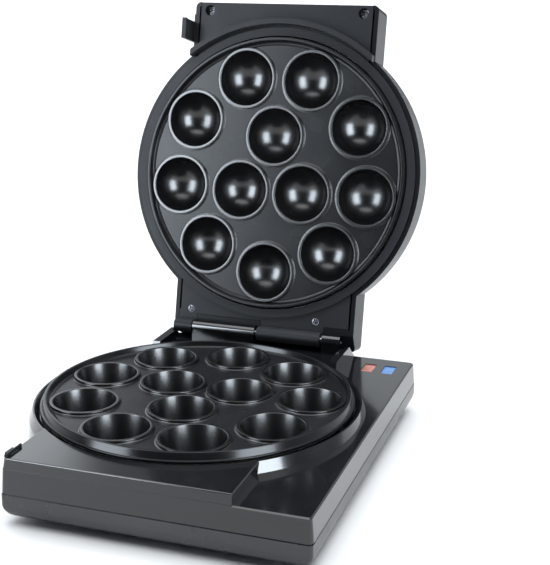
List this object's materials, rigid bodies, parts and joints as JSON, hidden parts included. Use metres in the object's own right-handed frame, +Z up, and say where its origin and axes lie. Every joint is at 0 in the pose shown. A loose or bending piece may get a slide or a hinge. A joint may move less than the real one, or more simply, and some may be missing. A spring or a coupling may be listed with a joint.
{
  "type": "cake pop maker",
  "caption": "Electric cake pop maker with a hinged lid, cast plates of ringed round moulds, a side panel with two indicator windows and a sliding latch.",
  "frame": {"origin": "middle of the footprint of the maker with its lid open, on the surface it stands on", "axes": "+Z up, +Y from the front handle side to the hinge side, +X to the right towards the side panel"},
  "size_m": [0.2198, 0.3216, 0.2777],
  "materials": {
    "blue_lens": "clear blue",
    "board": "matte",
    "ceramic": "matte",
    "element": "dull",
    "housing": "semi-gloss black",
    "pan": "plain",
    "plate": "satin dark grey non-stick",
    "red_lens": "clear red",
    "rubber": "matte",
    "steel": "satin"
  },
  "bodies": {
    "base": {"base_baking_plate": "plate", "base_heating_element": "element", "base_housing_screws": "steel", "base_lower_housing": "housing", "base_pan_screws": "steel", "base_plate_screws": "steel", "base_reflector_pan": "pan", "base_thermal_fuse": "ceramic", "base_thermostat": "ceramic", "base_upper_housing": "housing", "blue_indicator_window": "blue_lens", "cord_gland": "rubber", "hinge_pin": "steel", "indicator_board": "board", "indicator_lamps": "red_lens", "latch_catch": "housing", "red_indicator_window": "red_lens", "rubber_feet": "rubber", "terminal_block": "ceramic"},
    "lid": {"latch_guide": "housing", "lid_baking_plate": "plate", "lid_front_screws": "steel", "lid_heating_element": "element", "lid_inner_frame": "housing", "lid_outer_housing": "housing", "lid_pan_screws": "steel", "lid_plate_screws": "steel", "lid_rear_screws": "steel", "lid_reflector_pan": "pan", "lid_thermal_fuse": "ceramic"},
    "latch": {"latch_slider": "housing"}
  },
  "joints": [
    {"name": "lid_hinge", "type": "hinge", "parent": "base", "child": "lid", "pos_m": [-0.003, 0.07738, 0.0476], "axis": [1, 0, 0], "range_deg": [0, 102.4]},
    {"name": "latch_slide", "type": "slide", "parent": "lid", "child": "latch", "axis": [0, 0.2147, 0.9767], "range_m": [0, 0.008]}
  ]
}
